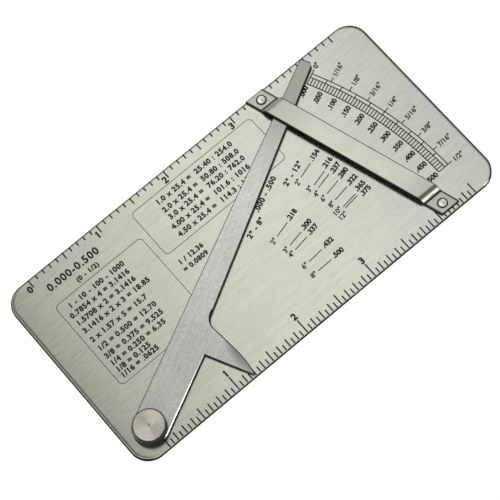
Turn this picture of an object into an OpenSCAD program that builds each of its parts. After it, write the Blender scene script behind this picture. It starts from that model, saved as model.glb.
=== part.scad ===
// Lever type pit depth gauge for pipe walls: a flat steel plate with two rulers and an arc scale,
// a pivoted lever with a pointed measuring foot, and a slanted guide strap that the lever runs under.
// Millimetres, +Z up. The origin is the centre of the plate's back face, with the measuring edge at -Y.

/* [Plate] */
// Length of the plate along X
plate_length = 133.2; // [120:0.1:150]
// Width of the plate along Y
plate_width = 66.4; // [60:0.1:76]
// Thickness of the plate
plate_thick = 1.6; // [1.2:0.1:3]
// Radius of the plate's corners
plate_corner_r = 6.35; // [3:0.05:9]
// Broken edge round both faces of the plate
plate_edge_break = 0.35; // [0.05:0.05:0.5]

/* [Pivot stud] */
// Pivot in from the plate's left edge
pivot_inset_x = 8.75; // [7:0.05:12]
// Pivot up from the measuring edge
pivot_inset_y = 8; // [7:0.05:10]
// Diameter of the stud's head
head_d = 9.8; // [8.5:0.1:12]
// Height of the stud's head
head_h = 2.2; // [1.2:0.1:4]
// Width of the chamfer round the head's rim
head_chamfer = 0.6; // [0.2:0.1:1]
// Diameter of the lathe's centre mark on the head
centre_mark_d = 0.8; // [0.4:0.1:1.5]
// Diameter of the shoulder that the lever turns on
shoulder_d = 6.35; // [5:0.05:7]
// Diameter of the tail through the plate
tail_d = 4; // [3:0.1:4.8]

/* [Spring washer] */
// Thickness of the washer's sheet
washer_thick = 0.2; // [0.1:0.05:0.3]
// Free height of the coned washer
washer_h = 0.45; // [0.35:0.05:0.8]
// Washer's rim in from the rim of the head
washer_inset = 0.5; // [0.2:0.1:0.8]

/* [Depth lever] */
// Thickness of the lever
lever_thick = 1.6; // [1.2:0.1:3]
// Width of the lever at the pivot
lever_width = 10.8; // [10:0.1:13]
// Reach from the pivot to the pointer's end
lever_reach = 119; // [112:0.5:125]
// Height of the pointer at its end
pointer_end_h = 3.7; // [2.5:0.1:4.5]
// Taper of the pointer's reading edge in degrees
pointer_taper = 2.65; // [1:0.05:3]
// Radius of the pointer's end corners
pointer_end_r = 0.9; // [0.3:0.1:1.2]
// Reach from the pivot to the foot's straight edge
foot_reach = 25.4; // [22:0.1:29]
// Drop of the foot's tip below the lever's centre line
foot_drop = 20.6; // [18:0.1:22]
// Width of the foot where it leaves the lever
foot_root_w = 7.75; // [6.5:0.05:9]
// Width of the blunt tip
foot_tip_w = 0.6; // [0.3:0.1:1.2]
// Lean of the foot's flank from square in degrees
foot_flank_lean = 21; // [17:0.5:23]
// Radius of the nose between the flank and the tip
foot_nose_r = 32; // [24:1:45]
// Fillet between the foot and the pointer
foot_fillet_r = 4.3; // [2:0.1:6]
// Depth of the ground bevel at the foot's flank
bevel_depth = 0.7; // [0.3:0.1:0.9]
// Width of the ground bevel
bevel_w = 2.6; // [1:0.1:3]
// Radius of the wheel that ground the bevel
bevel_wheel_r = 60; // [40:1:90]
// Broken edge along the lever's long edges
lever_edge_break = 0.25; // [0.05:0.05:0.4]

/* [Guide strap] */
// Width of the strap's strip
strap_width = 6.25; // [5:0.05:8]
// Thickness of the strap's strip
strap_thick = 0.7; // [0.6:0.1:1.2]
// Distance along X from the strap's middle to the lever's reach
strap_from_end = 22.3; // [18:0.05:26]
// Slant of the strap from Y in degrees
strap_slant = 17; // [10:0.5:20]
// Strap's upper end in from the plate's upper edge
strap_upper_inset = 0.1; // [0.05:0.05:1.5]
// Strap's lower end in from the measuring edge
strap_lower_inset = 1.35; // [0.5:0.05:2]
// Length of the strap's upper foot
strap_upper_foot = 4.8; // [4.5:0.05:6]
// Length of the strap's lower foot
strap_lower_foot = 5.3; // [4.5:0.05:6]
// Inner radius of the strap's bends
strap_bend_r = 0.9; // [0.3:0.1:1]
// Angle of the risers in degrees
strap_riser_angle = 56; // [50:1:80]

/* [Strap rivets] */
// Diameter of a rivet's shank
rivet_d = 1.6; // [1.2:0.1:2]
// Diameter of a rivet's head
rivet_head_d = 3; // [2.4:0.1:3.4]
// Height of a rivet's domed head
rivet_head_h = 0.7; // [0.4:0.1:1]
// Rivets in from the strap's ends
rivet_inset = 2.6; // [2.2:0.1:3]

/* [Scales] */
// Ruler's zero in from the plate's left edge
ruler_inset = 9.525; // [6:0.025:15]
// Ruler's end stays this far from the plate's right edge
ruler_end_gap = 9; // [6:0.1:15]
// Length of the inch marks on the measuring edge
inch_mark = 5; // [3:0.1:6]
// Length of the half inch marks
half_mark = 3.9; // [2.5:0.1:5]
// Length of the eighth inch marks
eighth_mark = 3; // [2:0.1:4]
// Length of the sixteenth inch marks
sixteenth_mark = 2.15; // [1:0.05:3]
// Length of the inch marks on the upper edge
upper_inch_mark = 2.6; // [2:0.1:4]
// Length of the half inch marks on the upper edge
upper_half_mark = 2.15; // [1.5:0.05:3]
// Length of the tenth inch marks on the upper edge
tenth_mark = 1.4; // [0.8:0.1:2]
// Width of a ruler's engraved lines
mark_w = 0.3; // [0.1:0.02:0.4]
// Width of the arc scale's engraved lines
dial_mark_w = 0.24; // [0.1:0.02:0.3]
// Depth of a straight engraved line
mark_depth = 0.1; // [0.05:0.01:0.15]
// Depth of the arc scale's round lines
arc_depth = 0.12; // [0.06:0.01:0.18]
// Arc scale's centre above the pivot
dial_rise = 3.65; // [2:0.05:6]
// Pointer's end beyond the arc scale's outer line
dial_clear = 4.2; // [2:0.1:8]
// Width of the arc scale's band of thousandths
dial_band = 2.3; // [1.5:0.1:4]
// Gap between the band and the outer line
dial_outer_band = 1.2; // [0.8:0.1:2]
// Length of the fraction marks outside the outer line
fraction_mark = 1.5; // [0.8:0.1:3]
// Direction of the arc scale's zero in degrees
dial_zero_angle = 25.05; // [20:0.05:28]
// Angle of the whole arc scale in degrees
dial_span = 24.85; // [20:0.05:28]

/* [Fits] */
// Gap between the plate and the lever
lever_gap = 0.1; // [0.05:0.05:0.2]
// Radial clearance of the lever's bore on the shoulder
shoulder_clearance = 0.05; // [0.02:0.01:0.1]
// Gap between the lever and the washer's rim
washer_gap = 0.05; // [0.02:0.01:0.1]
// Radial clearance of the washer round the shoulder
washer_clearance = 0.1; // [0.05:0.05:0.3]
// Radial clearance of the rivets' and tail's holes
rivet_clearance = 0.02; // [0.01:0.01:0.05]
// Gap between the lever's top and the strap's bridge
bridge_gap = 0.6; // [0.35:0.05:0.8]
// Gap between the lever's edge and the strap's riser at the stop
stop_gap = 0.1; // [0.05:0.05:0.3]

/* [Hidden] */
$fn = 96;

INCH = 25.4;
// Overlap that carries a cut clean through a face
CUT = 1;
// Overlap that lets a round bite into the straight edge that it runs on to
BITE = 0.004;

// Heights of the stack on the pivot
lever_z = plate_thick + lever_gap;
lever_top = lever_z + lever_thick;
washer_z = lever_top + washer_gap;
head_z = washer_z + washer_h;
head_top = head_z + head_h;
head_chamfer_z = head_top - head_chamfer / 2;
centre_mark_z = head_top - centre_mark_d / 2;

// Places of the pivot and the arc scale's centre
pivot = [-plate_length / 2 + pivot_inset_x, -plate_width / 2 + pivot_inset_y];
dial_centre = pivot + [0, dial_rise];
dial_outer_r = lever_reach - dial_clear;
dial_mid_r = dial_outer_r - dial_outer_band;
dial_inner_r = dial_mid_r - dial_band;
dial_fraction_r = dial_outer_r + fraction_mark;
dial_divisions = 50;
dial_long_step = 5;
dial_fractions = 8;
// Whether a division falls on a fraction, so that one line serves both
function on_fraction(i) = i * dial_fractions % dial_divisions == 0;

// Rulers: parts to the inch, and how many parts apart the lines of each length stand, longest first
lower_parts = 16;
lower_marks = [
    [lower_parts, inch_mark], [lower_parts / 2, half_mark],
    [lower_parts / 8, eighth_mark], [1, sixteenth_mark],
];
upper_parts = 10;
upper_marks = [[upper_parts, upper_inch_mark], [upper_parts / 2, upper_half_mark], [1, tenth_mark]];

// Spread tails of the stud and the rivets, in countersinks at the plate's back
tail_spread = 0.5;
rivet_spread = 0.35;

// Strap: a riser between two bends lifts the bridge over the lever
strap_x = pivot.x + lever_reach - strap_from_end;
strap_upper_y = plate_width / 2 - strap_upper_inset;
strap_lower_y = -plate_width / 2 + strap_lower_inset;
strap_mid_y = (strap_upper_y + strap_lower_y) / 2;
strap_half_y = (strap_upper_y - strap_lower_y) / 2;
strap_rise = lever_gap + lever_thick + bridge_gap;
bend_mid_r = strap_bend_r + strap_thick / 2;
bend_lift = 1 - cos(strap_riser_angle);
riser_len = (strap_rise - 2 * bend_mid_r * bend_lift) / sin(strap_riser_angle);
riser_run = 2 * bend_mid_r * sin(strap_riser_angle) + riser_len * cos(strap_riser_angle);
strap_half_x = strap_width / 2 / cos(strap_slant);

// The strap's middle line at a given Y
function strap_mid_x(y) = strap_x - y * tan(strap_slant);

// How far in from the foot's bend line the riser's underside stands at height z over the plate
function riser_inset(z) =
    let (bend_start = strap_rise - strap_bend_r * bend_lift)
    z > bend_start
    ? riser_run - sqrt(strap_bend_r ^ 2 - (z - strap_rise + strap_bend_r) ^ 2)
    : riser_run - strap_bend_r * sin(strap_riser_angle) - (bend_start - z) / tan(strap_riser_angle);

// Lever at its upper stop: its upper edge lies against the riser at the strap's right side
stop_z = lever_gap + lever_thick - lever_edge_break;
stop_y = strap_upper_y - strap_upper_foot - riser_inset(stop_z);
stop_point = [strap_mid_x(stop_y) + strap_half_x, stop_y] - pivot;
lever_angle = atan2(stop_point.y, stop_point.x) - asin((lever_width / 2 + stop_gap) / norm(stop_point));

// Lever outline, along s from the pivot and t across
lever_half = lever_width / 2;
pointer_end_t = lever_half - pointer_end_h;
function reading_edge(s) = pointer_end_t - (lever_reach - s) * tan(pointer_taper);
edge_normal = [-sin(pointer_taper), cos(pointer_taper)];
end_low = [lever_reach - pointer_end_r,
           reading_edge(lever_reach - pointer_end_r) + pointer_end_r / cos(pointer_taper)];
end_high = [lever_reach - pointer_end_r, lever_half - pointer_end_r];

// Foot: a straight flank leans in from the root, and a nose arc carries it on to the tip
flank_dir = [sin(foot_flank_lean), cos(foot_flank_lean)];
flank_normal = [cos(foot_flank_lean), -sin(foot_flank_lean)];
foot_tip = [foot_reach + foot_tip_w, -foot_drop];
foot_root = [foot_reach + foot_root_w, -lever_half];
function flank_at(t) = foot_root + flank_dir * (t - foot_root.y) / flank_dir.y;
foot_lean_in = (foot_root - foot_tip) * flank_normal;
nose_len = sqrt(2 * foot_nose_r * foot_lean_in - foot_lean_in ^ 2);
nose_start = foot_root + flank_dir * (nose_len - (foot_root - foot_tip) * flank_dir);
nose_centre = nose_start - flank_normal * foot_nose_r;

// Share of the way from the foot's tip to its root where the bevel is deepest
bevel_contact = 0.25;

// Fillet circle that touches the flank and the reading edge from outside
edge_start = [0, reading_edge(0)];
foot_corner = foot_root - flank_dir * ((foot_root - edge_start) * edge_normal) / (flank_dir * edge_normal);
fillet_base = foot_root + flank_normal * foot_fillet_r;
fillet_drop = (fillet_base - edge_start) * edge_normal + foot_fillet_r;
fillet_centre = fillet_base - flank_dir * fillet_drop / (flank_dir * edge_normal);
fillet_on_flank = fillet_centre - flank_normal * foot_fillet_r;
fillet_on_edge = fillet_centre + edge_normal * foot_fillet_r;

// Cross-section of a flat bar whose edges are broken by one width below and another on top
module chamfered_section(width, thick, low, high) {
    half = width / 2;
    polygon([
        [low - half, 0], [half - low, 0], [half, low], [half, thick - high],
        [half - high, thick], [high - half, thick], [-half, thick - high], [-half, low],
    ]);
}

module plate_section(width) {
    chamfered_section(width, plate_thick, plate_edge_break, plate_edge_break);
}

module plate_blank() {
    straight_x = plate_length - 2 * plate_corner_r;
    straight_y = plate_width - 2 * plate_corner_r;
    rotate([90, 0, 0])
        linear_extrude(straight_y, center = true)
            plate_section(plate_length);
    rotate([90, 0, 90])
        linear_extrude(straight_x, center = true)
            plate_section(plate_width);
    for (x = [-1, 1], y = [-1, 1])
        translate([x * straight_x / 2, y * straight_y / 2, 0])
            rotate_extrude()
                intersection() {
                    plate_section(2 * plate_corner_r);
                    square([plate_corner_r, plate_thick]);
                }
}

// A straight engraved line that runs from a start point along +X
module mark(length, width) {
    translate([0, -width / 2, plate_thick - mark_depth])
        cube([length, width, mark_depth + CUT]);
}

// A ruler's lines along one long edge, running in from that edge
module ruler(parts, lengths, edge) {
    count = floor((plate_length - ruler_inset - ruler_end_gap) / INCH * parts);
    for (i = [0 : count]) {
        long = [for (step = lengths) if (i % step[0] == 0) step[1]][0];
        translate([-plate_length / 2 + ruler_inset + i * INCH / parts, edge * (plate_width / 2 + CUT), 0])
            rotate([0, 0, -edge * 90])
                mark(long + CUT, mark_w);
    }
}

module dial_arc(radius) {
    translate([0, 0, plate_thick - arc_depth])
        rotate([0, 0, dial_zero_angle - dial_span])
            rotate_extrude(angle = dial_span)
                translate([radius - dial_mark_w / 2, 0])
                    square([dial_mark_w, 2 * arc_depth]);
}

module dial_mark(share, from, to) {
    rotate([0, 0, dial_zero_angle - share * dial_span])
        translate([from, 0, 0])
            mark(to - from, dial_mark_w);
}

module dial() {
    translate([dial_centre.x, dial_centre.y, 0]) {
        for (radius = [dial_inner_r, dial_mid_r, dial_outer_r])
            dial_arc(radius);
        for (i = [0 : dial_divisions])
            dial_mark(i / dial_divisions, dial_inner_r,
                      on_fraction(i) ? dial_fraction_r : i % dial_long_step == 0 ? dial_outer_r : dial_mid_r);
        for (i = [0 : dial_fractions])
            if (i * dial_divisions % dial_fractions != 0)
                dial_mark(i / dial_fractions, dial_outer_r, dial_fraction_r);
    }
}

// A shank with its spread tail, flush with the plate's back, up to a given height
module riveted_shank(radius, spread, height) {
    rotate_extrude()
        polygon([[0, 0], [radius + spread, 0], [radius, spread], [radius, height], [0, height]]);
}

module at_rivets() {
    for (end = [-1, 1])
        let (y = strap_mid_y + end * (strap_half_y - rivet_inset))
        translate([strap_mid_x(y), y, 0])
            children();
}

module base_plate() {
    color("#b4b3a3")
        difference() {
            plate_blank();
            translate([pivot.x, pivot.y, 0])
                riveted_shank(tail_d / 2 + rivet_clearance, tail_spread, plate_thick + CUT);
            at_rivets()
                riveted_shank(rivet_d / 2 + rivet_clearance, rivet_spread, plate_thick + CUT);
            ruler(lower_parts, lower_marks, -1);
            ruler(upper_parts, upper_marks, 1);
            dial();
        }
}

// Web that fills the corner between the foot and the reading edge up to the fillet
module foot_fillet() {
    difference() {
        polygon([
            fillet_on_flank - flank_normal, fillet_centre, fillet_on_edge + edge_normal,
            foot_corner + edge_normal - flank_normal,
        ]);
        translate(fillet_centre)
            circle(foot_fillet_r + BITE);
    }
}

// What is cut away in front of the foot's nose
module nose_cut() {
    difference() {
        polygon([
            nose_start - flank_normal, nose_start + flank_normal * foot_root_w,
            [foot_root.x, -foot_drop - CUT], [foot_reach, -foot_drop - CUT],
        ]);
        translate(nose_centre)
            circle(foot_nose_r + BITE, $fn = 360);
    }
}

// What is cut away at the corners of the pointer's end
module end_cut() {
    difference() {
        translate([end_low.x, -lever_half])
            square([pointer_end_r + CUT, lever_width + CUT]);
        translate([end_low.x - CUT, end_low.y])
            square([pointer_end_r + 3 * CUT, end_high.y - end_low.y]);
        for (corner = [end_low, end_high])
            translate(corner)
                circle(pointer_end_r + BITE);
    }
}

module lever_outline() {
    difference() {
        union() {
            circle(d = lever_width);
            polygon([
                [0, lever_half], [0, -lever_half], [foot_reach, -lever_half], [foot_reach, -foot_drop],
                flank_at(-foot_drop), foot_corner, [lever_reach, pointer_end_t], [lever_reach, lever_half],
            ]);
            foot_fillet();
        }
        nose_cut();
        end_cut();
    }
}

// Space that the lever fills: its long edges and round end have broken top edges, the foot and the
// reading edge stay sharp
module lever_envelope() {
    rotate([90, 0, 90])
        linear_extrude(lever_reach + CUT)
            chamfered_section(lever_width, lever_thick, 0, lever_edge_break);
    rotate_extrude()
        intersection() {
            chamfered_section(lever_width, lever_thick, 0, lever_edge_break);
            square([lever_half, lever_thick]);
        }
    translate([foot_reach, -foot_drop - CUT, 0])
        cube([lever_reach - foot_reach + CUT, foot_drop + CUT, lever_thick]);
}

// The grinding wheel lies on the bulged edge near the tip and runs out towards the lever
module bevel_wheel() {
    tilt = atan(bevel_depth / bevel_w);
    wheel_w = 4 * bevel_w;
    along = foot_root - foot_tip;
    contact = foot_tip + along * bevel_contact;
    translate([contact.x, contact.y, lever_thick - bevel_depth])
        rotate([0, 0, atan2(along.y, along.x) - 90])
            rotate([0, 90 + tilt, 0])
                translate([-bevel_wheel_r, 0, 0])
                    cylinder(h = wheel_w, r = bevel_wheel_r, center = true, $fn = 360);
}

module depth_lever() {
    color("#a9a9a6")
        translate([pivot.x, pivot.y, lever_z])
            rotate([0, 0, lever_angle])
                difference() {
                    intersection() {
                        linear_extrude(lever_thick)
                            lever_outline();
                        lever_envelope();
                    }
                    translate([0, 0, -CUT])
                        cylinder(h = lever_thick + 2 * CUT, d = shoulder_d + 2 * shoulder_clearance);
                    bevel_wheel();
                }
}

module pivot_stud() {
    head_r = head_d / 2;
    color("#bdbcae")
        translate([pivot.x, pivot.y, 0]) {
            riveted_shank(tail_d / 2, tail_spread, plate_thick);
            rotate_extrude()
                polygon([
                    [0, plate_thick], [shoulder_d / 2, plate_thick], [shoulder_d / 2, head_z],
                    [head_r, head_z], [head_r, head_chamfer_z], [head_r - head_chamfer, head_top],
                    [centre_mark_d / 2, head_top], [0, centre_mark_z],
                ]);
        }
}

module spring_washer() {
    inner = shoulder_d / 2 + washer_clearance;
    outer = head_d / 2 - washer_inset;
    flat = washer_thick;
    color("#8f8f8c")
        translate([pivot.x, pivot.y, 0])
            rotate_extrude()
                polygon([
                    [inner, head_z - washer_thick], [inner, head_z], [inner + flat, head_z],
                    [outer, washer_z + washer_thick], [outer, washer_z], [outer - flat, washer_z],
                ]);
}

// What lies below the strap's upper or lower side at one end, in its side view: a foot, a riser and the
// bridge, with bends of the given radii between them
module below_strap(foot, low_r, high_r, margin) {
    out = [sin(strap_riser_angle), cos(strap_riser_angle)];
    up = [0, 1];
    low = [strap_half_y - foot, strap_bend_r + strap_thick];
    high = [low.x - riser_run, strap_rise - strap_bend_r];
    high_corner = high + high_r * [tan(strap_riser_angle / 2), 1];
    base = -CUT - margin;
    difference() {
        polygon([
            [base, base], [strap_half_y + margin, base], [strap_half_y + margin, low.y - low_r],
            low - low_r * up, low, low - low_r * out, high_corner, [base, high_corner.y],
        ]);
        translate(low)
            circle(low_r + BITE);
        difference() {
            polygon([
                high, high + 2 * high_r * up, high_corner + high_r * (up + out), high + 2 * high_r * out,
            ]);
            translate(high)
                circle(high_r + BITE);
        }
    }
}

// Side view of one end of the strap, from its foot up to the bridge
module strap_end_section(foot) {
    outer = strap_bend_r + strap_thick;
    difference() {
        below_strap(foot, strap_bend_r, outer, 0);
        below_strap(foot, outer, strap_bend_r, CUT);
    }
}

module guide_strap() {
    high = strap_rise + strap_thick + 2 * CUT;
    color("#c6c4b4")
        difference() {
            translate([0, 0, plate_thick])
                intersection() {
                    translate([0, strap_mid_y, 0])
                        rotate([90, 0, 90])
                            linear_extrude(plate_length, center = true) {
                                strap_end_section(strap_upper_foot);
                                mirror([1, 0])
                                    strap_end_section(strap_lower_foot);
                            }
                    translate([0, 0, -CUT])
                        linear_extrude(high)
                            polygon([for (side = [[-1, -1], [1, -1], [1, 1], [-1, 1]])
                                let (y = side.y * plate_width)
                                [strap_mid_x(y) + side.x * strap_half_x, y]]);
                }
            at_rivets()
                cylinder(h = plate_thick + high, d = rivet_d + 2 * rivet_clearance);
        }
}

module strap_rivets() {
    seat = plate_thick + strap_thick;
    dome_r = (rivet_head_h ^ 2 + (rivet_head_d / 2) ^ 2) / (2 * rivet_head_h);
    color("#c9c8bf")
        at_rivets() {
            riveted_shank(rivet_d / 2, rivet_spread, seat);
            intersection() {
                translate([0, 0, seat + rivet_head_h - dome_r])
                    sphere(dome_r);
                translate([0, 0, seat])
                    cylinder(h = rivet_head_h + CUT, d = rivet_head_d);
            }
        }
}

base_plate();
depth_lever();
pivot_stud();
spring_washer();
guide_strap();
strap_rivets();
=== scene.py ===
import math

import bpy
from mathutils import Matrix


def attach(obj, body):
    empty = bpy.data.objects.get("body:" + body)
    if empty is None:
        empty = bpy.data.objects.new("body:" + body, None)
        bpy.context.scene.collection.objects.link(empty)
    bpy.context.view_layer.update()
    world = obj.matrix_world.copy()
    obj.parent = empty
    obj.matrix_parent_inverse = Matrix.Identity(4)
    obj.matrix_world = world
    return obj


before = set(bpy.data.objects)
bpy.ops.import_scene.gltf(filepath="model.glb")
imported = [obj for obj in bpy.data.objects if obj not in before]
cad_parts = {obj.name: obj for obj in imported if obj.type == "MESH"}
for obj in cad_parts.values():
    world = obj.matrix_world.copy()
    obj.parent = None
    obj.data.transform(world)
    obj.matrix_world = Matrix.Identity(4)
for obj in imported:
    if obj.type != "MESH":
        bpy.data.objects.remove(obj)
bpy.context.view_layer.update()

# Camera: a long lens high above the plate's lower left corner. Its place and turn were worked out
# from the ruler lines, whose spacing is known.
camera_place = (-0.09511, -0.2155, 0.64287)
camera_turn = (19.0397, 5.7954, -39.7874)
lens_length = 170.27
sensor_width = 36
bpy.ops.object.camera_add(location=camera_place, rotation=[math.radians(turn) for turn in camera_turn])
camera = bpy.context.object
camera.data.lens = lens_length
camera.data.sensor_width = sensor_width
bpy.context.scene.camera = camera


# Base plate: stainless sheet, brushed along its length, with broken edges. The ruler lines and the
# arc scale are etched and filled with black. Its walls, the broken edges that don't face the front and
# the outer part of the front one are painted dark as shade, and so are a band in along every edge,
# wider at the ends and the upper side, a band just in from the left end and the left end itself.
class Wire:
    """A shader value. Maths on it adds the nodes to its material."""

    def __init__(self, tree, socket=None):
        self.tree = tree
        self.socket = socket

    def node(self, kind, settings=None, inputs=None, out=0):
        """Adds a node with its settings and then its sockets' values or wires, and gives one output."""
        made = self.tree.nodes.new(kind)
        for name, value in (settings or {}).items():
            setattr(made, name, value)
        for key, value in (inputs or {}).items():
            if isinstance(value, Wire):
                self.tree.links.new(value.socket, made.inputs[key])
            else:
                made.inputs[key].default_value = value
        return Wire(self.tree, made.outputs[out])

    def maths(self, operation, *others):
        return self.node("ShaderNodeMath", {"operation": operation}, dict(enumerate((self, *others))))

    def vector(self, operation, *others, out=0):
        inputs = dict(enumerate((self, *others)))
        return self.node("ShaderNodeVectorMath", {"operation": operation}, inputs, out)

    def measure(self, operation, *others):
        """Vector maths whose answer is a number."""
        return self.vector(operation, *others, out="Value")

    def axis(self, name):
        return self.node("ShaderNodeSeparateXYZ", None, {0: self}, out=name)

    def __add__(self, other):
        return self.maths("ADD", other)

    def __sub__(self, other):
        return self.maths("SUBTRACT", other)

    def __rsub__(self, other):
        return self.node("ShaderNodeMath", {"operation": "SUBTRACT"}, {0: other, 1: self})

    def __mul__(self, other):
        return self.maths("MULTIPLY", other)

    def __truediv__(self, other):
        return self.maths("DIVIDE", other)

    def __abs__(self):
        return self.maths("ABSOLUTE")

    def __lt__(self, other):
        return self.maths("LESS_THAN", other)

    def __gt__(self, other):
        return self.maths("GREATER_THAN", other)

    __radd__ = __add__
    __rmul__ = __mul__

    def step(self, low, high):
        """0 below low, 1 above high and a smooth rise between."""
        inputs = {"Value": self, "From Min": low, "From Max": high}
        return self.node("ShaderNodeMapRange", {"interpolation_type": "SMOOTHSTEP"}, inputs)

    def blend(self, first, second):
        """From the first colour to the second as this value goes from 0 to 1."""
        return self.node("ShaderNodeMix", {"data_type": "RGBA"}, {0: self, 6: first, 7: second}, out=2)


def bare_finish(name, settings):
    """A new material with its constants set: the material, its shader and a wire to draw with."""
    material = bpy.data.materials.new(name)
    material.use_nodes = True
    shader = material.node_tree.nodes["Principled BSDF"]
    for socket, value in settings.items():
        shader.inputs[socket].default_value = value
    return material, shader, Wire(material.node_tree)


def feed(shader, links):
    """Links what varies over a piece to the shader's sockets."""
    for socket, wire in links.items():
        wire.tree.links.new(wire.socket, shader.inputs[socket])


def own_place(wire):
    """A point's place in the piece's own coordinates, in metres."""
    return wire.node("ShaderNodeTexCoord", out="Object")


def turned_place(wire, turn, centre=(0, 0, 0), scale=(1, 1, 1)):
    """That place seen from a centre, on axes turned in the plate's plane, in degrees, and scaled."""
    inputs = {"Location": centre, "Rotation": (0, 0, math.radians(turn)), "Scale": scale}
    inputs["Vector"] = own_place(wire)
    return wire.node("ShaderNodeMapping", {"vector_type": "TEXTURE"}, inputs)


def brush_lines(wire, turn, length, width):
    """Noise drawn out along a direction in the plate's plane, in degrees, with grains of that size."""
    drawn_out = turned_place(wire, turn, scale=(length, width, width))
    return wire.node("ShaderNodeTexNoise", None, {"Vector": drawn_out, "Scale": 1, "Detail": 2})


def smudges(wire, size):
    """Cloudy patches of that size in metres, from handling."""
    inputs = {"Vector": own_place(wire), "Scale": 1 / size, "Detail": 3}
    return wire.node("ShaderNodeTexNoise", None, inputs)


def bumped(wire, height, depth):
    """The normal of a face with scratches of that depth in metres."""
    return wire.node("ShaderNodeBump", None, {"Height": height, "Strength": 1.0, "Distance": depth})


def looking(wire, axis):
    """How far a face looks along the piece's own axis: 1 straight along it, 0 across it."""
    normal = wire.node("ShaderNodeNewGeometry", out="True Normal")
    spaces = {"vector_type": "NORMAL", "convert_from": "WORLD", "convert_to": "OBJECT"}
    return wire.node("ShaderNodeVectorTransform", spaces, {"Vector": normal}).axis(axis)


def either(first, second):
    """The larger of two masks."""
    return first.maths("MAXIMUM", second)


def dress(node, material):
    """Gives a solid its finish."""
    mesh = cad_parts[node].data
    mesh.materials.clear()
    mesh.materials.append(material)


plate_top = 0.0016
plate_half = (0.0666, 0.0332)
plate_corner = 0.00635
plate_bright = (0.72, 0.72, 0.63, 1)
plate_dull = (0.6, 0.6, 0.52, 1)
plate_shade = (0.015, 0.015, 0.014, 1)
plate_rough = 0.15
filled_black = (0.004, 0.004, 0.004, 1)
noise_range = (0.3, 0.7)
# A tilt is how far a face looks along an axis, and a pair of values is where a finish starts and ends.
wall_tilt = 0.3
slope_tilt = 0.8
level_tilt = 0.9
etch_zone = 0.00015
etch_skin = 0.00002
broken_edge = 0.00018
measuring_edge_tilt = (-0.69, -0.6)
edge_band_span = (-0.0003, 0.0006)
band_wider_ends = 0.00055
band_wider_upper = 0.0003
left_band_share = 0.75
left_band_rise = (0.0005, 0.0008)
left_band_fall = (0.0008, 0.0016)
left_end_share = 0.16
left_end_zone = (-0.069, -0.056)

plate_steel, shader, wire = bare_finish("brushed_plate", {"Specular IOR Level": 0.0})
fine = brush_lines(wire, turn=0, length=0.004, width=0.0003)
broad = brush_lines(wire, turn=0, length=0.06, width=0.001)
cloud = smudges(wire, size=0.03)
place = own_place(wire)
height = place.axis("Z")
up = looking(wire, "Z")
etched = height > plate_top - etch_zone
groove_wall = etched * (up < wall_tilt)
groove_floor = etched * (height < plate_top - etch_skin) * (up > level_tilt)
filled = groove_wall + groove_floor
slope = (up > wall_tilt) * (up < slope_tilt)
# Walls and broken edges are painted dark as shade: all that don't face the front, and the outer part of
# the front one.
wall = (up < wall_tilt) * (up > -slope_tilt) * (1 - groove_wall)
shaded_chamfers = looking(wire, "Y").step(*measuring_edge_tilt)
shaded_rim = wall + slope * either(height < plate_top - broken_edge, shaded_chamfers)
core = (plate_half[0] - plate_corner, plate_half[1] - plate_corner, 1)
past_core = place.vector("ABSOLUTE").vector("SUBTRACT", core).vector("MAXIMUM", (0, 0, 0))
past = past_core.measure("LENGTH")
inset = plate_corner - past
endwise = past_core.axis("X") / past
left_end = endwise * (place.axis("X") < 0)
upper_side = past_core.axis("Y") / past * (place.axis("Y") > 0)
# Painted darker as shade: a band in along every edge, wider at the ends and the upper side, a band just
# in from the left end in its place, and the left end itself.
left_band_shade = inset.step(*left_band_rise) * (1 - inset.step(*left_band_fall))
edge_band_shade = 1 - (inset - band_wider_ends * endwise - band_wider_upper * upper_side).step(*edge_band_span)
edge_band_shade = edge_band_shade * (1 - left_end) + left_band_share * left_band_shade * left_end
left_end_shade = left_end_share - left_end_share * place.axis("X").step(*left_end_zone)
sheet = (0.75 * fine + 0.25 * broad).step(*noise_range).blend(plate_dull, plate_bright)
sheet = either(edge_band_shade, left_end_shade).blend(sheet, plate_shade)
feed(
    shader,
    {
        "Base Color": filled.blend(shaded_rim.blend(sheet, plate_shade), filled_black),
        "Metallic": 1 - (filled + shaded_rim),
        "Roughness": plate_rough + 0.05 * fine + 0.04 * cloud + 0.75 * (shaded_rim + filled),
        "Normal": bumped(wire, fine, depth=0.000003),
    },
)
dress("base_plate", plate_steel)


# Rulers: the black that fills the etched lines and spreads a little past them, and numerals above the
# inch lines of the measuring edge and beside those of the upper edge. Print is placed in inches from
# the lower ruler's zero.
inch = 0.0254
ruler_zero = (-0.057075, -0.0331)
worn_black = (0.02, 0.02, 0.018, 1)
ink_rough = 0.45
ink_thick = 0.000016
ink_sink = 0.000004
digit_share = 0.72
curve_steps = 3
print_bold = 0.000115
ruler_bold = 0.00013
ruler_line = 0.00043
ruler_inset = 0.35
sixteenths = ((16, 5.0), (8, 3.9), (2, 3.0), (1, 2.15))
tenths = ((10, 2.95), (5, 2.5), (1, 1.75))
lower_start, lower_digit, lower_base = 0.0098, 0.083, 0.208
upper_start, upper_digit, upper_base, upper_aside = 2.5965, 0.085, 2.458, 0.05
flag_turn, flag_length, flag_width = 218, 0.034, 0.00026
lower_flag = (1.006, 0.288)
upper_flag = (0.956, 2.54)
weld_distance = 1e-7

ink, shader, wire = bare_finish("filled_black", {"Metallic": 0.0, "Specular IOR Level": 0.3})
patchy = smudges(wire, size=0.0006)
feed(
    shader,
    {
        "Base Color": patchy.step(0.3, 0.8).blend(filled_black, worn_black),
        "Roughness": ink_rough + 0.2 * patchy,
    },
)


def on_plate(x, y):
    """The middle of the ink's thickness, at a point given in inches from the lower ruler's zero."""
    return ruler_zero[0] + x * inch, ruler_zero[1] + y * inch, plate_top - ink_sink + ink_thick / 2


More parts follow.
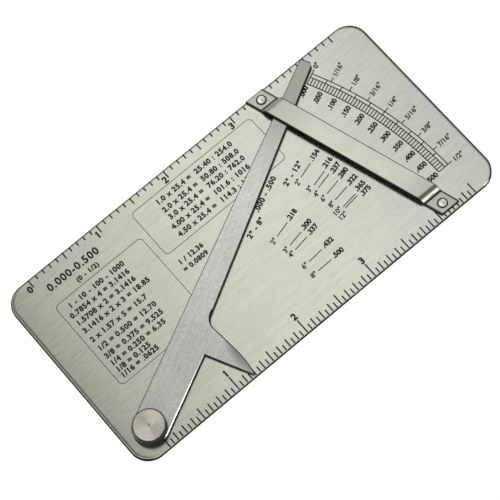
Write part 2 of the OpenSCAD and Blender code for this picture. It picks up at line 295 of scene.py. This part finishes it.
def numerals(text, x, y, size, turn=0.0, align="LEFT", spacing=1.0, bold=print_bold):
    """A line of print whose digits are size inches high, with its baseline at x and y."""
    bpy.ops.object.text_add()
    line = bpy.context.object
    line.data.body = text
    line.data.size = size * inch / digit_share
    line.data.align_x = align
    line.data.space_character = spacing
    line.data.extrude = ink_thick / 2
    line.data.offset = bold
    line.data.resolution_u = curve_steps
    bpy.ops.object.convert(target="MESH")
    line = bpy.context.object
    line.location = on_plate(x, y)
    line.rotation_euler.z = math.radians(turn)
    bpy.ops.object.transform_apply()
    return line


def stroke(x, y, turn, length, width):
    """A straight line of ink, its length in inches, from a point on the plate."""
    angle = math.radians(turn)
    bpy.ops.mesh.primitive_cube_add(size=1)
    line = bpy.context.object
    line.scale = (length * inch, width, ink_thick)
    line.location = on_plate(x + length / 2 * math.cos(angle), y + length / 2 * math.sin(angle))
    line.rotation_euler.z = angle
    bpy.ops.object.transform_apply()
    return line


def ruler(count, parts, marks, start, turn):
    """A ruler's lines, in from the plate's edge. A mark is how often it comes and its length in mm."""
    lines = []
    for i in range(count + 1):
        reach = next(length for step, length in marks if i % step == 0)
        lines.append(stroke(i / parts, start, turn, (reach - ruler_inset) / 25.4, ruler_line))
    return lines


def printed(name, lines):
    """Joins print into one piece that rides on the plate."""
    bpy.ops.object.select_all(action="DESELECT")
    for line in lines:
        line.select_set(True)
    bpy.context.view_layer.objects.active = lines[0]
    bpy.ops.object.join()
    piece = bpy.context.object
    piece.name = name
    bpy.ops.object.mode_set(mode="EDIT")
    bpy.ops.mesh.select_all(action="SELECT")
    bpy.ops.mesh.remove_doubles(threshold=weld_distance)
    bpy.ops.mesh.normals_make_consistent(inside=False)
    bpy.ops.object.mode_set(mode="OBJECT")
    piece.data.materials.clear()
    piece.data.materials.append(ink)
    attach(piece, "body")


lower_ruler = []
upper_ruler = []
for i in (1, 2, 3):
    lower_ruler.append(numerals(str(i), i, lower_base, lower_digit, align="CENTER", bold=ruler_bold))
for i in range(5):
    x = i - upper_aside
    upper_ruler.append(numerals(str(i), x, upper_base, upper_digit, align="CENTER", bold=ruler_bold))
lower_ruler.append(stroke(*lower_flag, flag_turn, flag_length, flag_width))
upper_ruler.append(stroke(*upper_flag, flag_turn, flag_length, flag_width))
lower_ruler += ruler(count=72, parts=16, marks=sixteenths, start=lower_start, turn=90)
upper_ruler += ruler(count=45, parts=10, marks=tenths, start=upper_start, turn=-90)
printed("ruler_marks", lower_ruler + upper_ruler)


# Arc scale: the black in its etched band of hundredths of an inch, with decimals inside the band and
# fractions outside it. Each is turned to point away from the scale's centre.
dial_centre = (-0.0305, 0.4547)
dial_zero = 25.05
dial_span = 24.85
dial_end = 0.5
dial_line = 0.00031
band_in, band_mid, band_out, fraction_out = 4.3819, 4.4724, 4.5197, 4.5787
decimals_to, fractions_from = 4.352, 4.6
half_digit = 0.03
small_digit = 0.062
inch_sign_bold = 0.00007
arc_steps = 60


def around_dial(value, radius, rise=0.0):
    """Where a reading in inches stands at that radius from the scale's centre, and its direction."""
    turn = dial_zero - value / dial_end * dial_span
    angle = math.radians(turn)
    x = dial_centre[0] + radius * math.cos(angle) - rise * math.sin(angle)
    y = dial_centre[1] + radius * math.sin(angle) + rise * math.cos(angle)
    return x, y, turn


dial_print = []
for i in range(11):
    x, y, turn = around_dial(i * 0.05, decimals_to, -half_digit)
    dial_print.append(numerals(f".{i * 50:03d}", x, y, small_digit, turn, "RIGHT"))
for i, part in enumerate(("0", "1/16", "1/8", "3/16", "1/4", "5/16", "3/8", "7/16", "1/2")):
    x, y, turn = around_dial(i / 16, fractions_from, -half_digit)
    dial_print.append(numerals(part + '"', x, y, small_digit, turn, bold=inch_sign_bold))
for i in range(51):
    x, y, turn = around_dial(i * 0.01, band_in)
    far = fraction_out if i % 25 == 0 else band_out if i % 5 == 0 else band_mid
    dial_print.append(stroke(x, y, turn, far - band_in, dial_line))
for i in (1, 2, 3, 5, 6, 7):
    x, y, turn = around_dial(i / 16, band_out)
    dial_print.append(stroke(x, y, turn, fraction_out - band_out, dial_line))
for radius in (band_in, band_mid, band_out):
    x, y, turn = around_dial(dial_end, radius)
    swing = -math.radians(dial_span)
    bpy.ops.mesh.primitive_plane_add(size=1)
    arc = bpy.context.object
    arc.scale = (dial_line, ink_thick, 1)
    arc.location = on_plate(x, y)
    arc.rotation_euler = (math.radians(90), 0, math.radians(turn))
    bpy.ops.object.transform_apply()
    bpy.ops.object.mode_set(mode="EDIT")
    bpy.ops.mesh.select_all(action="SELECT")
    bpy.ops.mesh.spin(steps=arc_steps, angle=swing, center=on_plate(*dial_centre), axis=(0, 0, 1))
    bpy.ops.object.mode_set(mode="OBJECT")
    dial_print.append(arc)
printed("dial_marks", dial_print)


# Wall table: pipe sizes with a leader line to each wall thickness, etched and filled as the rulers are.
# Every row points to the scale's centre and stands where the lever's edge rests at that thickness.
lever_lead = 0.008
leader_length, leader_width = 0.205, 0.00028
size_gap = 0.03
thickness_gap = 0.235
thickness_drop = 0.015
row_digit = 0.066
heading_spacing = 1.15

wall_table = []
for radius, rows in (
    (2.585, ((2, 0.218, 0), (3, 0.300, 0), (4, 0.337, 0), (6, 0.432, 0), (8, 0.500, 0))),
    (3.327, ((2, 0.154, 0), (3, 0.216, 0.02), (4, 0.237, -0.025), (6, 0.280, 0))),
    (3.327, ((8, 0.322, 0), (10, 0.365, 0.015), (12, 0.375, -0.04))),
):
    for size, wall, nudge in rows:
        reading = wall - lever_lead
        x, y, turn = around_dial(reading, radius)
        wall_table.append(stroke(x, y, turn, leader_length, leader_width))
        x, y, turn = around_dial(reading, radius - size_gap, nudge - half_digit)
        wall_table.append(numerals(f'{size}"', x, y, small_digit, turn, "RIGHT", bold=inch_sign_bold))
        x, y, turn = around_dial(reading, radius + thickness_gap, nudge - thickness_drop)
        wall_table.append(numerals(f"{wall:.3f}"[1:], x, y, small_digit, turn))
for heading, x, y, turn in (
    ('2" - 8"', 2.23, 1.28, 17),
    ('2" - 12"', 2.95, 1.49, 19),
    (".000 - .500", 2.5, 1.47, 24),
):
    wall_table.append(numerals(heading, x, y, row_digit, turn, spacing=heading_spacing))
printed("wall_table", wall_table)


# Reference panels: two thin rounded frames with rows of plain figures, two short rows beside them
# and a range above, all etched and filled.
frame_corner = 0.06
frame_width = 0.00018
corner_steps = 8
left_panel = ((0.03, 0.911), (1.3, 2.149))
upper_panel = ((1.384, 1.767), (3.173, 2.44))
row_spacing = 1.12
sums_to, answers_from = 2.2, 2.267
range_digit, fraction_digit = 0.095, 0.058


def panel_frame(low, high):
    """A rounded frame line between two corners in inches."""
    bpy.ops.mesh.primitive_plane_add(size=1)
    frame_line = bpy.context.object
    frame_line.scale = ((high[0] - low[0]) * inch, (high[1] - low[1]) * inch, 1)
    frame_line.location = on_plate((low[0] + high[0]) / 2, (low[1] + high[1]) / 2)
    bpy.ops.object.transform_apply()
    bpy.ops.object.mode_set(mode="EDIT")
    bpy.ops.mesh.select_all(action="SELECT")
    bpy.ops.mesh.bevel(offset=frame_corner * inch, segments=corner_steps, affect="VERTICES")
    bpy.ops.mesh.select_all(action="SELECT")
    bpy.ops.mesh.inset(thickness=frame_width)
    bpy.ops.mesh.delete(type="FACE")
    bpy.ops.object.mode_set(mode="OBJECT")
    wall = frame_line.modifiers.new("wall", "SOLIDIFY")
    wall.thickness = ink_thick
    wall.offset = 0
    bpy.ops.object.modifier_apply(modifier=wall.name)
    return frame_line


panels = [panel_frame(*left_panel), panel_frame(*upper_panel)]
for text, x, y in (
    ("1 - 10 - 100 - 1000", 0.16, 2.011),
    ("0.7854 x 4 = 3.1416", 0.1, 1.9),
    ("1.5708 x 2 = 3.1416", 0.1, 1.784),
    ("3.1416 x 2 x 3 = 18.85", 0.1, 1.667),
    ("2 x 1.57 x 5 = 15.7", 0.1, 1.529),
    ("1/2 = 0.500 = 12.70", 0.1, 1.393),
    ("3/8 = 0.375 = 9.525", 0.1, 1.271),
    ("1/4 = 0.250 = 6.35", 0.1, 1.162),
    ("1/8 = 0.125", 0.1, 1.062),
    ("1/16 = .0625", 0.1, 0.973),
):
    panels.append(numerals(text, x, y, row_digit, spacing=row_spacing))
for inches, millimetres, y in (
    ("1.0 x 25.4 =", "25.40 : 254.0", 2.311),
    ("2.0 x 25.4 =", "50.80 : 508.0", 2.189),
    ("3.0 x 25.4 =", "76.20 : 762.0", 2.078),
    ("4.00 x 25.4 =", "101.6 : 1016", 1.96),
    ("4.50 x 25.4 =", "114.3 : 1143", 1.84),
):
    panels.append(numerals(inches, sums_to, y, row_digit, align="RIGHT", spacing=row_spacing))
    panels.append(numerals(millimetres, answers_from, y, row_digit, spacing=row_spacing))
for text, x, y, digit, align, spacing in (
    ("1 / 12.36", 1.43, 1.578, small_digit, "LEFT", row_spacing),
    ("= 0.0809", 1.42, 1.473, small_digit, "LEFT", row_spacing),
    ("0.000-0.500", 0.11, 2.322, range_digit, "LEFT", heading_spacing),
    ("(0 - 1/2)", 0.58, 2.2, fraction_digit, "CENTER", heading_spacing),
):
    panels.append(numerals(text, x, y, digit, align=align, spacing=spacing))
printed("reference_panels", panels)


# Depth lever: cut from stainless sheet and finished with a fine grit along its length, so it looks more
# neutral than the plate. Its foot has a ground bevel, and it turns on the stud. Its walls, its broken
# edges and a line round the foot and the pointer's end are painted dark as shade, and the broken edges
# that face +X are a painted highlight. Its bevel and pointer tip are painted darker as shade.
lever_turn = 26.37
lever_top = 0.0033
pivot = (-0.05785, -0.0252, 0.0025)
lever_bright = (0.84, 0.84, 0.795, 1)
lever_dull = (0.51, 0.51, 0.48, 1)
lever_rough = 0.18
pivot_end_bright = (0.69, 0.69, 0.65, 1)
pivot_end_dull = (0.46, 0.46, 0.435, 1)
pivot_end_share = 0.55
pivot_end_zone = (0.034, 0.046)
foot_start = (-0.011, -0.006)
tip_shade = (0.43, 0.43, 0.39, 1)
tip_shade_start = (0.078, 0.106)
pointer_end = 0.119
edge_shade = (0.05, 0.05, 0.047, 1)
edge_highlight = (0.68, 0.68, 0.655, 1)
highlight_side = (0.1, 0.25)
notch_edge_shade = (0.22, 0.22, 0.21, 1)
notch_start = (0.009, 0.022)
notch_end = (0.028, 0.034)
bevel_shallow = (0.82, 0.82, 0.78, 1)
bevel_shade = (0.47, 0.47, 0.45, 1)
bevel_fall = (-0.0001, 0.00065)
bevel_steepest, bevel_flattest = 0.85, 0.995
shade_line_width = 0.0003
fillet_centre = (0.037378, -0.006382, 0)
fillet_radius = 0.0043
nose_centre = (0.000417, -0.001376, 0)
nose_radius = 0.032
nose_start = (0.030292, -0.012845, 0)
flank_length = 0.0086
flank_lean = math.radians(21)
flank_along = (math.sin(flank_lean), math.cos(flank_lean), 0)
flank_out = (math.cos(flank_lean), -math.sin(flank_lean), 0)

lever_steel, shader, wire = bare_finish("satin_lever", {"Metallic": 1.0})
fine = brush_lines(wire, lever_turn, length=0.012, width=0.0002)
cloud = smudges(wire, size=0.012)
grain = smudges(wire, size=0.0005)
up = looking(wire, "Z")
slope = (up > wall_tilt) * (up < slope_tilt)
place = own_place(wire)
reach = place.measure("DISTANCE", pivot)
square = turned_place(wire, lever_turn, pivot)
flat = square.vector("MULTIPLY", (1, 1, 0))
from_start = flat.vector("SUBTRACT", nose_start)
along = from_start.measure("DOT_PRODUCT", flank_along)
outward = from_start.measure("DOT_PRODUCT", flank_out)
on_nose = (flat.measure("DISTANCE", nose_centre) > nose_radius - shade_line_width) * (along < 0)
on_flank = (outward > -shade_line_width) * (along > 0) * (along < flank_length)
on_fillet = flat.measure("DISTANCE", fillet_centre) < fillet_radius + shade_line_width
on_end = square.axis("X") > pointer_end - shade_line_width
# Walls, broken edges and a thin line round the foot and the pointer's end are painted dark as shade.
shaded_rim = either(up < wall_tilt, slope * (1 - looking(wire, "X").step(*highlight_side)))
shaded_rim = either(either(either(shaded_rim, on_end), on_nose), either(on_flank, on_fillet))
mottled = (0.35 * fine + 0.25 * cloud + 0.4 * grain).step(*noise_range)
face = mottled.blend(lever_dull, lever_bright)
# The lever is darker near the pivot and on its foot.
foot = 1 - square.axis("Y").step(*foot_start)
pivot_darkening = either(foot, pivot_end_share - pivot_end_share * reach.step(*pivot_end_zone))
face = pivot_darkening.blend(face, mottled.blend(pivot_end_dull, pivot_end_bright))
# The ground bevel is painted darker as shade where it lies deeper.
ground = (up > bevel_steepest) * (up < bevel_flattest)
depth = (lever_top - place.axis("Z")).step(*bevel_fall)
face = ground.blend(face, (depth + 0.3 * mottled - 0.15).blend(bevel_shallow, bevel_shade))
# The pointer's tip is painted darker as shade.
face = reach.step(*tip_shade_start).blend(face, tip_shade)
notch = reach.step(*notch_start) * (1 - reach.step(*notch_end))
# Broken edges that face +X are a painted highlight, darker near the notch.
face = slope.blend(face, notch.blend(edge_highlight, notch_edge_shade))
feed(
    shader,
    {
        "Base Color": shaded_rim.blend(face, edge_shade),
        "Roughness": lever_rough + 0.06 * fine + 0.05 * cloud + 0.7 * shaded_rim,
        "Normal": bumped(wire, fine, depth=0.000005),
    },
)
dress("depth_lever", lever_steel)


# Spring washer: a thin cone of spring steel, plain and a little darker than the rest. It is pressed
# between the lever and the stud's head, and its friction holds the lever at a reading.
washer_bright = (0.42, 0.42, 0.4, 1)
washer_dull = (0.3, 0.3, 0.29, 1)
washer_rough = 0.3

washer_steel, shader, wire = bare_finish("spring_steel", {"Metallic": 1.0})
cloud = smudges(wire, size=0.002)
feed(
    shader,
    {
        "Base Color": cloud.step(*noise_range).blend(washer_dull, washer_bright),
        "Roughness": washer_rough + 0.15 * cloud,
    },
)
dress("spring_washer", washer_steel)


# Pivot stud: turned from bar, with a chamfered head, rings from the tool and the lathe's centre mark.
# Its tail is riveted in the plate. Its side and the outer edge of its head are painted dark as shade.
stud_bright = (0.88, 0.87, 0.73, 1)
stud_dull = (0.56, 0.55, 0.465, 1)
stud_chamfer = (0.46, 0.45, 0.4, 1)
stud_centre = (0.33, 0.32, 0.27, 1)
stud_shade = (0.06, 0.06, 0.054, 1)
stud_rough = 0.32
ring_scale = 6000
head_edge = (0.00455, 0.0047)
chamfer_start = 0.004
chamfer_flattest = 0.97
centre_mark = (0.0001, 0.0005)

stud_steel, shader, wire = bare_finish(
    "turned_stud",
    {"Metallic": 1.0, "Anisotropic": 1.0, "Anisotropic Rotation": 0.25},
)
centred = own_place(wire).vector("SUBTRACT", pivot).vector("MULTIPLY", (1, 1, 0))
radius = centred.measure("LENGTH")
ring_inputs = {"W": radius, "Scale": ring_scale, "Detail": 2}
rings = wire.node("ShaderNodeTexNoise", {"noise_dimensions": "1D"}, ring_inputs)
up = looking(wire, "Z")
# The side and the outer edge of the head are painted dark as shade.
shaded_side = either(up < wall_tilt, radius.step(*head_edge))
chamfer = (up > slope_tilt) * (up < chamfer_flattest) * (radius > chamfer_start)
face = rings.step(*noise_range).blend(stud_dull, stud_bright)
face = (1 - radius.step(*centre_mark)).blend(face, stud_centre)
feed(
    shader,
    {
        "Base Color": shaded_side.blend(chamfer.blend(face, stud_chamfer), stud_shade),
        "Roughness": stud_rough + 0.08 * rings + 0.5 * shaded_side - 0.26 * chamfer,
        "Normal": bumped(wire, rings, depth=0.000002),
    },
)
dress("pivot_stud", stud_steel)


# Guide strap: stainless strip, brushed along its length and bent to a low bridge that the pointer runs
# under. Its feet are riveted to the plate. Its walls, ends and long edges, the creases at the foot of
# its risers and a ring round each rivet are painted dark as shade, its bends and upper end are painted
# darker as shade, its risers are a painted highlight, and it is darker towards its lower end.
strap_turn = 107
strap_middle = (0.03885, 0, 0)
strap_bright = (0.73, 0.73, 0.625, 1)
strap_dull = (0.6, 0.6, 0.51, 1)
strap_darker = (0.3, 0.3, 0.26, 1)
riser_highlight = (0.96, 0.96, 0.88, 1)
strap_foot = (0.5, 0.5, 0.43, 1)
lower_bend_shade = (0.18, 0.18, 0.16, 1)
upper_bend_shade = (0.35, 0.35, 0.305, 1)
strap_rough = 0.14
lower_end, upper_end = -0.03165, 0.0329
foot_top = 0.0024
crease_top = (0.0025, 0.003)
crease_flattest = 0.97
bridge_edge = (0.0028, 0.00305)
foot_edge = (0.0024, 0.003)
upper_rivet = (0.029525, 0.0305, 0.0023)
lower_rivet = (0.047793, -0.02925, 0.0023)
rivet_ring = 0.00164
bridge_height = 0.0036
upper_shade_share, upper_shade_zone = 0.35, (0.01, 0.024)
bend_shade_share, bend_shade_zone = 0.5, (0.0244, 0.0263)
lower_darkening_share, lower_darkening_zone = 0.3, (-0.023, -0.017)
riser_start = (0.0025, 0.0028)
riser_flattest = 0.75
bend_start = (bridge_height, 0.0039)
bend_tilt = (0.9, 0.97)

strap_steel, shader, wire = bare_finish("brushed_strap", {"Metallic": 1.0})
fine = brush_lines(wire, strap_turn, length=0.006, width=0.0003)
cloud = smudges(wire, size=0.01)
place = own_place(wire)
along = place.axis("Y")
height = place.axis("Z")
up = looking(wire, "Z")
off_middle = abs(turned_place(wire, strap_turn - 90, strap_middle).axis("X"))
# Painted dark as shade: walls, ends, long edges, the creases at the foot of the risers and a ring round
# each rivet.
shaded_ends = (along > upper_end) + (along < lower_end)
crease_shade = (1 - height.step(*crease_top)) * (up < crease_flattest) * (up > wall_tilt)
upper_rivet_shadow = place.measure("DISTANCE", upper_rivet) < rivet_ring
lower_rivet_shadow = place.measure("DISTANCE", lower_rivet) < rivet_ring
rivet_shadow = upper_rivet_shadow + lower_rivet_shadow
strap_edge_shade = either(off_middle.step(*bridge_edge), off_middle.step(*foot_edge) * (height < foot_top))
painted_shade = either(either(strap_edge_shade, shaded_ends), either(crease_shade, (up < wall_tilt) + rivet_shadow))
face = (0.6 * fine + 0.4 * cloud).step(*noise_range).blend(strap_dull, strap_bright)
# The upper end and the upper bend are painted darker as shade, and the strap is darker towards its
# lower end.
upper_shade = upper_shade_share * along.step(*upper_shade_zone)
upper_shade = upper_shade + bend_shade_share * along.step(*bend_shade_zone) * (height > bridge_height)
lower_darkening = lower_darkening_share - lower_darkening_share * along.step(*lower_darkening_zone)
face = either(upper_shade, lower_darkening).blend(face, strap_darker)
face = (height < foot_top).blend(face, strap_foot)
# The risers are a painted highlight.
face = (height.step(*riser_start) * (up < riser_flattest)).blend(face, riser_highlight)
# The bends are painted dark as shade.
shaded_bend = height.step(*bend_start) * (1 - up.step(*bend_tilt))
face = (shaded_bend * (along > 0)).blend(face, upper_bend_shade)
face = (shaded_bend * (along < 0)).blend(face, lower_bend_shade)
feed(
    shader,
    {
        "Base Color": painted_shade.blend(face, edge_shade),
        "Roughness": strap_rough + 0.06 * fine + 0.04 * cloud + 0.7 * painted_shade,
        "Normal": bumped(wire, fine, depth=0.000005),
    },
)
dress("guide_strap", strap_steel)


# Strap rivets: two small steel rivets with low domes, pressed smooth and bright. They hold the strap's
# feet, and their tails are flush with the plate's back.
dome_bright = (0.96, 0.96, 0.9, 1)
dome_dull = (0.88, 0.88, 0.82, 1)
dome_edge = (0.75, 0.84)
rivet_rough = 0.28

rivet_steel, shader, wire = bare_finish("smooth_rivets", {"Metallic": 1.0})
cloud = smudges(wire, size=0.0008)
# The low edge of each dome is painted dark as shade.
shaded_rim = 1 - looking(wire, "Z").step(*dome_edge)
dome = cloud.step(*noise_range).blend(dome_dull, dome_bright)
feed(
    shader,
    {
        "Base Color": shaded_rim.blend(dome, edge_shade),
        "Roughness": rivet_rough + 0.1 * cloud + 0.55 * shaded_rim,
    },
)
dress("strap_rivets", rivet_steel)


# Floor and light: a pale floor that looks white, two low soft boxes at the front right and at the left,
# and a pale room. Its ceiling has a bright band that the brushed steel mirrors, its left side is
# lighter and its other walls are a mid grey.
floor_size = 6
floor_drop = 0.00002
floor_pale = (0.85, 0.85, 0.85, 1)
white_strength = 1.06
white_share = 0.92

bpy.ops.mesh.primitive_plane_add(size=floor_size, location=(0, 0, -floor_drop))
floor = bpy.context.object
floor.name = "floor"
paper = bpy.data.materials.new("pale_floor")
paper.use_nodes = True
wire = Wire(paper.node_tree)
camera_ray = wire.node("ShaderNodeLightPath", out="Is Camera Ray")
glossy_ray = wire.node("ShaderNodeLightPath", out="Is Glossy Ray")
clear_ray = wire.node("ShaderNodeLightPath", out="Is Transmission Ray")
seen = either(camera_ray, either(glossy_ray, clear_ray))
lit = wire.node("ShaderNodeBsdfDiffuse", None, {"Color": floor_pale})
white = wire.node("ShaderNodeEmission", None, {"Color": (1, 1, 1, 1), "Strength": white_strength})
surface = wire.node("ShaderNodeMixShader", None, {0: white_share * seen, 1: lit, 2: white})
wire.tree.links.new(surface.socket, wire.tree.nodes["Material Output"].inputs["Surface"])
wire.tree.nodes.remove(wire.tree.nodes["Principled BSDF"])
floor.data.materials.append(paper)


def soft_box(place, size, power):
    """An area lamp that faces the plate's middle."""
    bpy.ops.object.light_add(type="AREA", location=place)
    lamp = bpy.context.object
    lamp.data.shape = "RECTANGLE"
    lamp.data.size, lamp.data.size_y = size
    lamp.data.energy = power
    lamp.rotation_euler = (-lamp.location).to_track_quat("-Z", "Y").to_euler()


def grey(level):
    return level, level, level, 1


soft_box(place=(0.57, -0.82, 0.16), size=(0.5, 0.2), power=1.4)
soft_box(place=(-0.7, 0.2, 0.12), size=(0.5, 0.12), power=1.0)

ceiling_warm = (0.25, 0.245, 0.23, 1)
ceiling_cool = (0.25, 0.255, 0.29, 1)
ceiling_front = (0.5, 0.5, 0.51, 1)
glow_warm = (1.37, 1.37, 1.35, 1)
glow_cool = (1.32, 1.325, 1.41, 1)
front_left = grey(0.9)
front_right = grey(0.52)
back_wall = grey(0.66)
left_low = grey(0.64)
left_high = grey(1.2)
horizon = grey(1)
glow_left, glow_right = (0.005, 0.16), (0.12, 0.36)
glow_front, glow_back = (-0.15, 0.12), (0.5, 0.75)
cool_start = (0.14, 0.26)
overhead_front, overhead_back = (-0.35, -0.15), (0.0, 0.15)
right_start = (0.05, 0.3)
back_start = (-0.2, 0.3)
ceiling_start = (0.72, 0.88)
left_high_start = (0.5, 0.8)
left_side_end = (-0.3, -0.12)
horizon_end = (0.15, 0.3)

world = bpy.data.worlds.new("pale_room")
bpy.context.scene.world = world
world.use_nodes = True
wire = Wire(world.node_tree)
sky = wire.node("ShaderNodeTexCoord", out="Generated")
aside = sky.axis("X")
behind = sky.axis("Y")
rise = sky.axis("Z")
glow = aside.step(*glow_left) * (1 - aside.step(*glow_right))
glow = glow * behind.step(*glow_front) * (1 - behind.step(*glow_back))
warm = glow.blend(ceiling_warm, glow_warm)
cool = glow.blend(ceiling_cool, glow_cool)
ceiling = aside.step(*cool_start).blend(warm, cool)
overhead = behind.step(*overhead_front) * (1 - behind.step(*overhead_back))
ceiling = overhead.blend(ceiling, ceiling_front)
front = aside.step(*right_start).blend(front_left, front_right)
walls = behind.step(*back_start).blend(front, back_wall)
right_part = rise.step(*ceiling_start).blend(walls, ceiling)
left_part = rise.step(*left_high_start).blend(left_low, left_high)
room = aside.step(*left_side_end).blend(left_part, right_part)
room = rise.step(*horizon_end).blend(horizon, room)
wire.tree.links.new(room.socket, wire.tree.nodes["Background"].inputs["Color"])

bpy.context.scene.view_settings.view_transform = "Standard"
